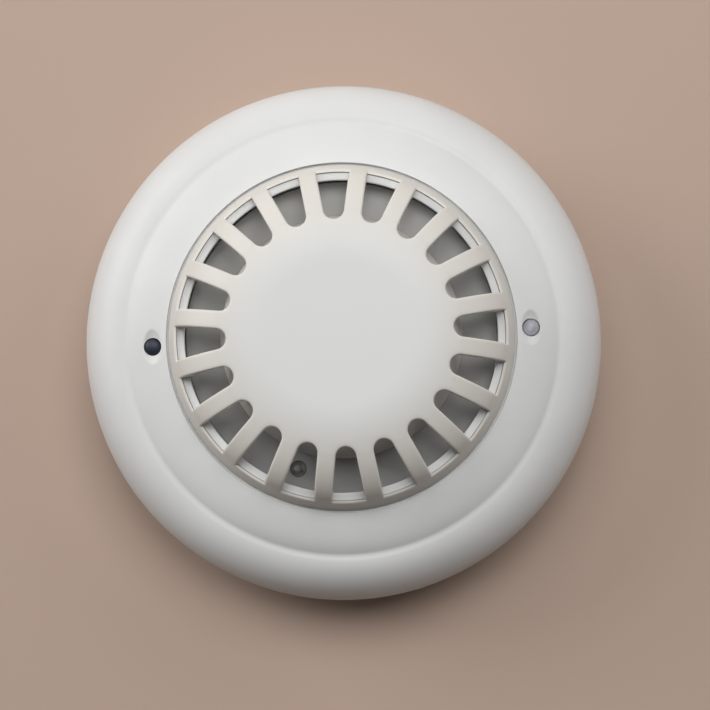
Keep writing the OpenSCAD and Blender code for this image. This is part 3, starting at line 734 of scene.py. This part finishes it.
def epoxy(name, colour, rough, clear):
    """Cast epoxy, with faint waves in its skin; clear sets how much light passes."""
    material = moulded(name, colour, rough, grain=0.7, relief=0.008, mottle=0.08)
    shader = material.node_tree.nodes["Principled BSDF"]
    shader.inputs["Transmission Weight"].default_value = clear
    shader.inputs["Coat Weight"].default_value = 0.1
    shader.inputs["Coat Roughness"].default_value = 0.3
    return material


def lens():
    """A lens body: a flange, a short barrel and a low dome."""
    low, high = lamp_low.z, lamp_high.z
    flange, flange_top = lens_radius + 0.35 * mm, low + 1 * mm
    return turned(rounded([
        (0, low), (flange, low, 0.1 * mm), (flange, flange_top, 0.15 * mm),
        (lens_radius, flange_top, 0.05 * mm),
        (lens_radius, high - 0.45 * mm, 1.0 * mm), (0.9 * mm, high - 0.12 * mm, 0.8 * mm),
        (0.4 * mm, high), (0, high)], 8), 64)


lamp_epoxy = epoxy("lamp_lens", (0.70, 0.69, 0.78), 0.36, 0.5)
receiver_epoxy = epoxy("receiver_lens", (0.010, 0.016, 0.032), 0.55, 0.0)
nylon = moulded("spacer_plastic", (0.62, 0.61, 0.57), rough=0.4, grain=0.5, relief=0.01, mottle=0.05)
for name, node, angle, material, slot in (
        ("lamp_lens_body", "status_led", 0, lamp_epoxy, "lamp_lens"),
        ("receiver_lens_body", "ir_receiver", 180, receiver_epoxy, "receiver_lens")):
    piece = new_piece(name, lens())
    piece.data.transform(around(angle, lens_ring))
    finish(piece, material, "head", slot, node)
for name, node, angle in (("lamp_spacer", "led_spacer", 0), ("receiver_lens_spacer", "receiver_spacer", 180)):
    low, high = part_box(node)[0].z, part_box(node)[1].z
    sleeve_radius = lens_radius + 0.8 * mm
    sleeve = turned(rounded([
        (lens_radius, low, 0.1 * mm), (sleeve_radius, low, 0.2 * mm), (sleeve_radius, high, 0.2 * mm),
        (lens_radius, high, 0.1 * mm)], 3), 48)
    piece = new_piece(name, sleeve)
    piece.data.transform(around(angle, lens_ring))
    finish(piece, nylon, "head", "spacer_plastic", node)
for name, node, angle in (("lamp_wires", "led_leads", 0), ("receiver_wires", "receiver_leads", 180)):
    low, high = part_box(node)[0].z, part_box(node)[1].z
    lead_pair(node, name, 0.9 * mm, angle, lens_ring, low, high, 0.12 * mm)
cup_top = lamp_high.z - 2.2 * mm
post_foot, post_radius, cup_radius = lamp_low.z + 0.3 * mm, 0.3 * mm, 0.95 * mm
cup_floor = cup_top - 0.4 * mm
cup = turned(rounded([
    (0, post_foot), (post_radius, post_foot), (post_radius, cup_top - 1 * mm),
    (cup_radius, cup_floor, 0.1 * mm),
    (cup_radius, cup_top, 0.05 * mm), (cup_radius - 0.2 * mm, cup_top, 0.05 * mm), (0.35 * mm, cup_floor),
    (0, cup_floor)], 3), 32)
lamp_cup = new_piece("lamp_cup", cup)
lamp_cup.data.transform(around(0, lens_ring))
finish(lamp_cup, tinned, "head", "tinned_wire")

# ---- Front cover ----
# The shell of the head, moulded in cool white ABS: a rounded rim, a soft valley, a ring
# that rises to the grille, and a lipped collar inside. Two scoops hold the lens holes.
grille_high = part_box("grille")[1]
foot_radius = grille_high.x
foot_height = deck_face + 1 * mm
well_radius = foot_radius + 0.35 * mm
crest_radius = cover_high.x - 8 * mm
valley_radius = crest_radius - 1.1 * mm
ring_drop = 2.9 * mm
crest_height = foot_height - ring_drop + 0.1 * mm
rim_end = math.radians(84)
tuck_height = 3.4 * mm
belly_height = cover_low.z + tuck_height
edge_tuck = 1.1 * mm
cover_wall = 2 * mm
collar_outer = foot_radius - 2.08 * mm
collar_bore = deck_radius + 0.4 * mm
collar_lip = collar_bore - 0.6 * mm
collar_lip_thick = 1 * mm
collar_top = cover_high.z
collar_foot = flange_high
groove_floor = foot_height - 0.8 * mm


def ring_height(radius):
    """Height of the ring's face at a distance from the middle."""
    share = max(0, (radius - foot_radius) / (valley_radius - foot_radius))
    return foot_height - ring_drop * (0.7 * share ** 1.2 + 0.3 * share ** 5)


def cover_outline():
    """The cover's section: collar, groove, ring, soft step, elliptic rim, lower edge and inner face."""
    ring_start = well_radius + 0.35 * mm
    ring_end = valley_radius - 0.5 * mm
    count = 34
    ring_line = [ring_start + (ring_end - ring_start) * i / count for i in range(count + 1)]
    step_start, step_end = Vector((ring_end, ring_height(ring_end))), Vector((crest_radius, crest_height))
    span = step_end.x - step_start.x
    rim_a = (cover_high.x - crest_radius) / (1 - math.cos(rim_end))
    rim_b = (crest_height - belly_height) / math.sin(rim_end)
    slope_in = (ring_height(ring_end + 0.1 * mm) - ring_height(ring_end)) / (0.1 * mm) * span
    slope_out = -rim_b / rim_a / math.tan(rim_end) * span
    step_line = []
    for i in range(1, 13):
        t = i / 13
        z = (step_start.y * (2 * t ** 3 - 3 * t ** 2 + 1) + slope_in * (t ** 3 - 2 * t ** 2 + t)
             + step_end.y * (3 * t ** 2 - 2 * t ** 3) + slope_out * (t ** 3 - t ** 2))
        step_line.append((step_start.x + span * t, z))
    rim_angles = [rim_end * (1 - i / 30) for i in range(31)]
    rim_line = [(cover_high.x - rim_a * (1 - math.cos(t)), belly_height + rim_b * math.sin(t))
                for t in rim_angles]
    tuck_line = []
    for i in range(1, 9):
        t = math.radians(90 * i / 8)
        tuck_line.append((cover_high.x - edge_tuck * (1 - math.cos(t)),
                          belly_height - tuck_height * math.sin(t)))
    bore = cover_high.x - edge_tuck - cover_wall + 0.1 * mm
    inner_rim = [(min(bore, cover_high.x - cover_wall - (rim_a - cover_wall) * (1 - math.cos(t))),
                  belly_height + (rim_b - cover_wall) * math.sin(t)) for t in reversed(rim_angles[1::3])]
    inner_ring = [(r, ring_height(r) - cover_wall) for r in reversed(ring_line[::4])]
    lip_under = collar_top - collar_lip_thick
    corners = ([(collar_bore, lip_under, 0.1 * mm), (collar_lip, lip_under, 0.12 * mm),
                (collar_lip, collar_top, 0.2 * mm), (collar_outer, collar_top, 0.06 * mm),
                (collar_outer, groove_floor, 0.1 * mm), (well_radius, groove_floor, 0.1 * mm),
                (well_radius, foot_height, 0.3 * mm)]
               + [(r, ring_height(r)) for r in ring_line] + step_line + rim_line + tuck_line
               + [(bore, cover_low.z, 0.3 * mm)] + inner_rim + inner_ring
               + [(collar_outer, groove_floor - cover_wall + 0.2 * mm, 0.3 * mm),
                  (collar_outer, collar_foot, 0.2 * mm), (collar_bore, collar_foot, 0.2 * mm)])
    return rounded(corners)


def cover_angles():
    """Angles round the cover, closer together near the two lenses."""
    angles = []
    for degree in range(360):
        fine = 4 if min(degree % 180, 180 - degree % 180) <= 8 else 1
        angles += [math.radians(degree + i / fine) for i in range(fine)]
    return angles


front_cover = new_piece("cover_shell", turned(cover_outline(), cover_angles()))
scoop_half_wide, scoop_half_long, scoop_deep = 1.8 * mm, 3.4 * mm, 0.85 * mm
edge_soft = 0.04 * mm
for vertex in front_cover.data.vertices:
    x, y, z = vertex.co
    radius = math.hypot(x, y)
    if well_radius < radius < valley_radius and z > ring_height(radius) - 0.05 * mm:
        across, along = (abs(x) - lens_ring) / scoop_half_wide, y / scoop_half_long
        depth = scoop_deep * (1 - across ** 2 - along ** 2)
        vertex.co.z -= (depth + math.hypot(depth, edge_soft)) / 2 if depth > -0.5 * mm else 0
boss_top = ring_height(screw_ring) - cover_wall / 2
for angle in screw_angles:
    boss = turned(rounded([(1.27 * mm, board_high.z, 0.2 * mm), (2.7 * mm, board_high.z, 0.2 * mm),
                           (2.7 * mm, boss_top), (1.27 * mm, boss_top)]), 40)
    boss.transform(around(angle, screw_ring))
    combine(front_cover, "UNION", boss)
for angle in (0, 180):
    lens_hole = raised(disc(lens_radius + 0.15 * mm, 59), board_high.z, foot_height + 2 * mm,
                       around(angle, lens_ring))
    combine(front_cover, "DIFFERENCE", lens_hole)
shade(front_cover, 40)
cover_plastic = moulded("cover_plastic", (0.735, 0.745, 0.745), rough=0.5)
finish(front_cover, cover_plastic, "head", "cover_plastic", "front_cover")

# ---- Grille ----
# The cap over the sensor, moulded in white ABS. Twenty ribs run out from a flat
# disc, over a dome and a knee, and down to a ring. A flared skirt hangs inside the slots.
# Its ribs and ring carry a painted warm bounce light, and its flat disc a cooler painted top light.
slot_count = 20
half_pitch = math.pi / slot_count
rib_half_wide = 1.7 * mm
slot_fillet = 0.35 * mm
grille_foot = foot_height - 0.5 * mm
face_height = grille_high.z
grille_wall = 1.8 * mm
ring_inner = foot_radius - 2 * mm
disc_radius = 14 * mm
knee_radius = foot_radius - 2.2 * mm
knee_height = foot_height + 5.3 * mm
sill_height = foot_height + 3.4 * mm
dome_end = math.radians(15)
dome_wide = (knee_radius - disc_radius) / math.cos(dome_end)
dome_tall = (face_height - knee_height) / (1 - math.sin(dome_end))
slot_tip = ring_inner - 10.2 * mm
slot_round_middle = (slot_tip - rib_half_wide) / (1 - math.sin(half_pitch))
slot_round = slot_round_middle - slot_tip
rounding_steps = 4


def wall_radius(height):
    """Radius of the leaning outer wall below the knee."""
    lean = (foot_radius - knee_radius) / (knee_height - grille_foot)
    return knee_radius + lean * (knee_height - height)


def dome(radius, inset=0.0):
    """Height of the cap's face, or of a face that lies inset below it, at a distance from the middle."""
    share = max(0.0, radius - disc_radius) / (dome_wide - inset)
    return face_height - dome_tall + (dome_tall - inset) * math.sqrt(max(0.0, 1 - share ** 2))


def on_dome(point, inset=0.0, deep=0.0):
    """A flat point lifted on to the cap's face, or inset or sunk a little below it."""
    return Vector((*point, dome(point.length, inset) - deep))


def on_rib(radius, beside, height):
    """A point beside the middle line of a rib that stands half a pitch round from the slot."""
    along = math.sqrt(radius ** 2 - beside ** 2)
    c, s = math.cos(half_pitch), math.sin(half_pitch)
    return Vector((along * c + beside * s, along * s - beside * c, height))


def quads(bm, rows):
    """Joins neighbouring rows of points with four-sided faces."""
    made = [[bm.verts.new(p) for p in row] for row in rows]
    for one, two in zip(made, made[1:]):
        for i in range(len(one) - 1):
            corners = [one[i], one[i + 1], two[i + 1], two[i]]
            if min((corners[k].co - corners[k - 1].co).length for k in range(4)) > 1e-7:
                bm.faces.new(corners)
            else:
                kept = [c for k, c in enumerate(corners) if (c.co - corners[k - 1].co).length > 1e-7]
                if len(kept) > 2:
                    bm.faces.new(kept)


def grille_sector():
    """Half of one slot with half of the rib beside it, ready to be mirrored and repeated."""
    bm = bmesh.new()
    turns = [math.radians(90 * i / rounding_steps) for i in range(rounding_steps + 1)]
    band = [(slot_fillet * (1 - math.sin(t)), slot_fillet * (1 - math.cos(t))) for t in turns]
    # The round inner end of the slot, and the disc inside it
    end_angle = math.pi / 2 - half_pitch
    steps = 8
    hub_radius = slot_tip - 2.2 * mm
    start_along = math.sqrt((slot_round_middle - slot_round * math.sin(half_pitch)) ** 2
                            + (slot_round * math.cos(half_pitch)) ** 2)
    spine = []
    for k in range(steps + 1):
        if k <= steps // 2:
            a = half_pitch * k / (steps // 2)
            spine.append((hub_radius * math.cos(a), hub_radius * math.sin(a)))
        else:
            r = hub_radius + (start_along - hub_radius) * (k - steps // 2) / (steps // 2)
            spine.append((r * math.cos(half_pitch), r * math.sin(half_pitch)))
    top_rows, side_rows, under_rows = [], [], []
    for k in range(steps + 1):
        t = end_angle * k / steps
        out = Vector((-math.cos(t), math.sin(t)))
        edge = Vector((slot_round_middle, 0)) + out * slot_round
        inner = Vector(spine[k])
        shoulder_edge = edge + out * slot_fillet
        top_rows.append([on_dome(inner.lerp(shoulder_edge, i / 3)) for i in range(3)]
                        + [on_dome(edge + out * off, deep=deep) for off, deep in band])
        side_rows.append([on_dome(edge, deep=slot_fillet), on_dome(edge, grille_wall)])
        under_rows.append([on_dome(inner.lerp(edge, i / 3), grille_wall) for i in range(4)])
    quads(bm, top_rows)
    quads(bm, side_rows)
    quads(bm, under_rows)
    hub_radii = [disc_radius * i / 3 for i in range(4)]
    hub_radii += [disc_radius + (hub_radius - disc_radius) * i / 5 for i in range(1, 6)]
    hub_turns = [half_pitch * k / 4 for k in range(5)]
    for inset in (0, grille_wall):
        quads(bm, [[on_dome(Vector((r * math.cos(a), r * math.sin(a))), inset) for a in hub_turns]
                   for r in hub_radii])
    # The rib: over the dome, and down to the sill
    rib_top, rib_side, rib_under_rows = [], [], []
    dome_start = math.acos((start_along - disc_radius) / dome_wide)
    rib_steps = 18
    for step in range(rib_steps + 1):
        t = dome_start + (dome_end - dome_start) * step / rib_steps
        c, s = Vector((math.cos(t) * dome_tall, math.sin(t) * dome_wide)).normalized() * min(1, step / 3)
        outer_r = disc_radius + dome_wide * math.cos(t)
        outer_z = dome(outer_r)
        inner_r = outer_r - grille_wall * math.cos(t) * min(1, step / 4)
        inner_z = dome(inner_r, grille_wall)
        flat = [on_rib(outer_r, (rib_half_wide - slot_fillet) * i / 3, outer_z) for i in range(3)]
        sink = s + 1 - min(1, step / 3)
        turned_edge = [on_rib(outer_r - deep * c, rib_half_wide - off, outer_z - deep * sink)
                       for off, deep in band]
        rib_top.append(flat + turned_edge)
        rib_side.append([turned_edge[-1], on_rib(inner_r, rib_half_wide, inner_z)])
        rib_under_rows.append([on_rib(inner_r, rib_half_wide * i / 3, inner_z) for i in range(4)])
    # Down to the corner of the slot and along its sill
    slot_columns = 6

    def across(radius, beside, share, height):
        """A point on the ring between a rib's side and the middle of the slot."""
        angle = (half_pitch - math.asin(beside / radius)) * (1 - share)
        return Vector((radius * math.cos(angle), radius * math.sin(angle), height))

    corner = []
    for off, deep in band:
        z = sill_height - off
        corner.append(on_rib(wall_radius(z) - deep, rib_half_wide - off, z))
    level = sill_height - slot_fillet
    narrow = rib_half_wide - slot_fillet
    rib_top.append([on_rib(wall_radius(level), narrow * i / 3, level) for i in range(3)] + corner)
    quads(bm, rib_top)
    quads(bm, rib_side)
    sill = []
    for column in range(slot_columns + 1):
        share = column / slot_columns
        line = [across(wall_radius(sill_height - off) - deep, rib_half_wide - off, share, sill_height - off)
                for off, deep in band]
        sill.append(line + [across(ring_inner, rib_half_wide, share, sill_height)])
    quads(bm, sill)
    last_side, inner_wall = rib_side[-1][0], on_rib(ring_inner, rib_half_wide, sill_height)
    rib_under_rows.append([on_rib(inner_r, rib_half_wide * i / 3, sill_height) for i in range(4)])
    rib_under_rows.append([on_rib(ring_inner, rib_half_wide * i / 3, sill_height) for i in range(4)])
    quads(bm, rib_under_rows)
    side_corner = on_rib(inner_r, rib_half_wide, sill_height)
    inner_corner = on_rib(inner_r, rib_half_wide, inner_z)
    bm.faces.new([bm.verts.new(p) for p in (last_side, corner[-1], inner_wall, side_corner, inner_corner)])
    # The ring below the sill: outer wall, rounded foot and inner wall
    rows = []
    foot = grille_foot
    heights = [level + (foot + 0.2 * mm - level) * i / 5 for i in range(6)]
    lower = [(wall_radius(z), z) for z in heights]
    lower += [(foot_radius - 0.06 * mm, foot + 0.06 * mm), (foot_radius - 0.2 * mm, foot)]
    for r, z in lower:
        rows.append([on_rib(r, narrow * i / 3, z) for i in range(3)]
                    + [across(r, narrow, k / slot_columns, z) for k in range(slot_columns + 1)])
    for r, z in ((ring_inner + 0.15 * mm, foot), (ring_inner, foot + 0.15 * mm), (ring_inner, sill_height)):
        rows.append([on_rib(r, rib_half_wide * i / 3, z) for i in range(3)]
                    + [across(r, rib_half_wide, k / slot_columns, z) for k in range(slot_columns + 1)])
    quads(bm, rows)
    return bm


half_sector = grille_sector()
mirrored = half_sector.copy()
mirrored.transform(Matrix.Scale(-1, 4, (0, 1, 0)))
sector = together(half_sector, mirrored)
sectors = []
for i in range(slot_count):
    copy = sector.copy()
    copy.transform(around(360 / slot_count * i))
    sectors.append(copy)
sector.free()
grille = new_piece("grille_cap", together(*sectors))
skirt_radius = slot_tip - 0.3 * mm
skirt_foot = deck_face + 0.3 * mm
skirt_flare = 2.4 * mm
skirt_wall = 1.4 * mm
skirt_join = dome(skirt_radius, grille_wall / 2)
skirt_edge = skirt_radius + skirt_flare
combine(grille, "UNION", turned(rounded([
    (skirt_radius - skirt_wall, skirt_join), (skirt_radius, skirt_join),
    (skirt_edge, skirt_foot, 0.25 * mm), (skirt_edge - skirt_wall, skirt_foot, 0.25 * mm)])))
shade(grille, 32)
even = grille.modifiers.new("even_shading", "WEIGHTED_NORMAL")
even.keep_sharp = True
# Painted light: the warm colour stands in for warm bounce light on the ribs and ring, and the blend below
# turns the flat disc to a cool tint for painted top light.
grille_plastic = moulded("grille_plastic", (0.735, 0.715, 0.67), rough=0.5)
tree = grille_plastic.node_tree
place = tree.nodes.new("ShaderNodeTexCoord")
distance = tree.nodes.new("ShaderNodeVectorMath")
distance.operation = "LENGTH"
flatten = tree.nodes.new("ShaderNodeVectorMath")
flatten.operation = "MULTIPLY"
flatten.inputs[1].default_value = (1, 1, 0)
tree.links.new(place.outputs["Object"], flatten.inputs[0])
tree.links.new(flatten.outputs["Vector"], distance.inputs[0])
painted_light_fade = tree.nodes.new("ShaderNodeMapRange")
painted_light_fade.interpolation_type = "SMOOTHSTEP"
painted_light_fade.inputs["From Min"].default_value = 0.014
painted_light_fade.inputs["From Max"].default_value = 0.026
tree.links.new(distance.outputs["Value"], painted_light_fade.inputs["Value"])
painted_light_tint = tree.nodes.new("ShaderNodeMix")
painted_light_tint.data_type = "RGBA"
painted_light_tint.inputs[6].default_value = (0.725, 0.735, 0.73, 1)
tree.links.new(painted_light_fade.outputs["Result"], painted_light_tint.inputs["Factor"])
tree.links.new(tree.nodes["cloud"].outputs["Color"], painted_light_tint.inputs[7])
tree.links.new(painted_light_tint.outputs[2], tree.nodes["Principled BSDF"].inputs["Base Color"])
finish(grille, grille_plastic, "grille", "grille_plastic", "grille")

bpy.context.view_layer.update()
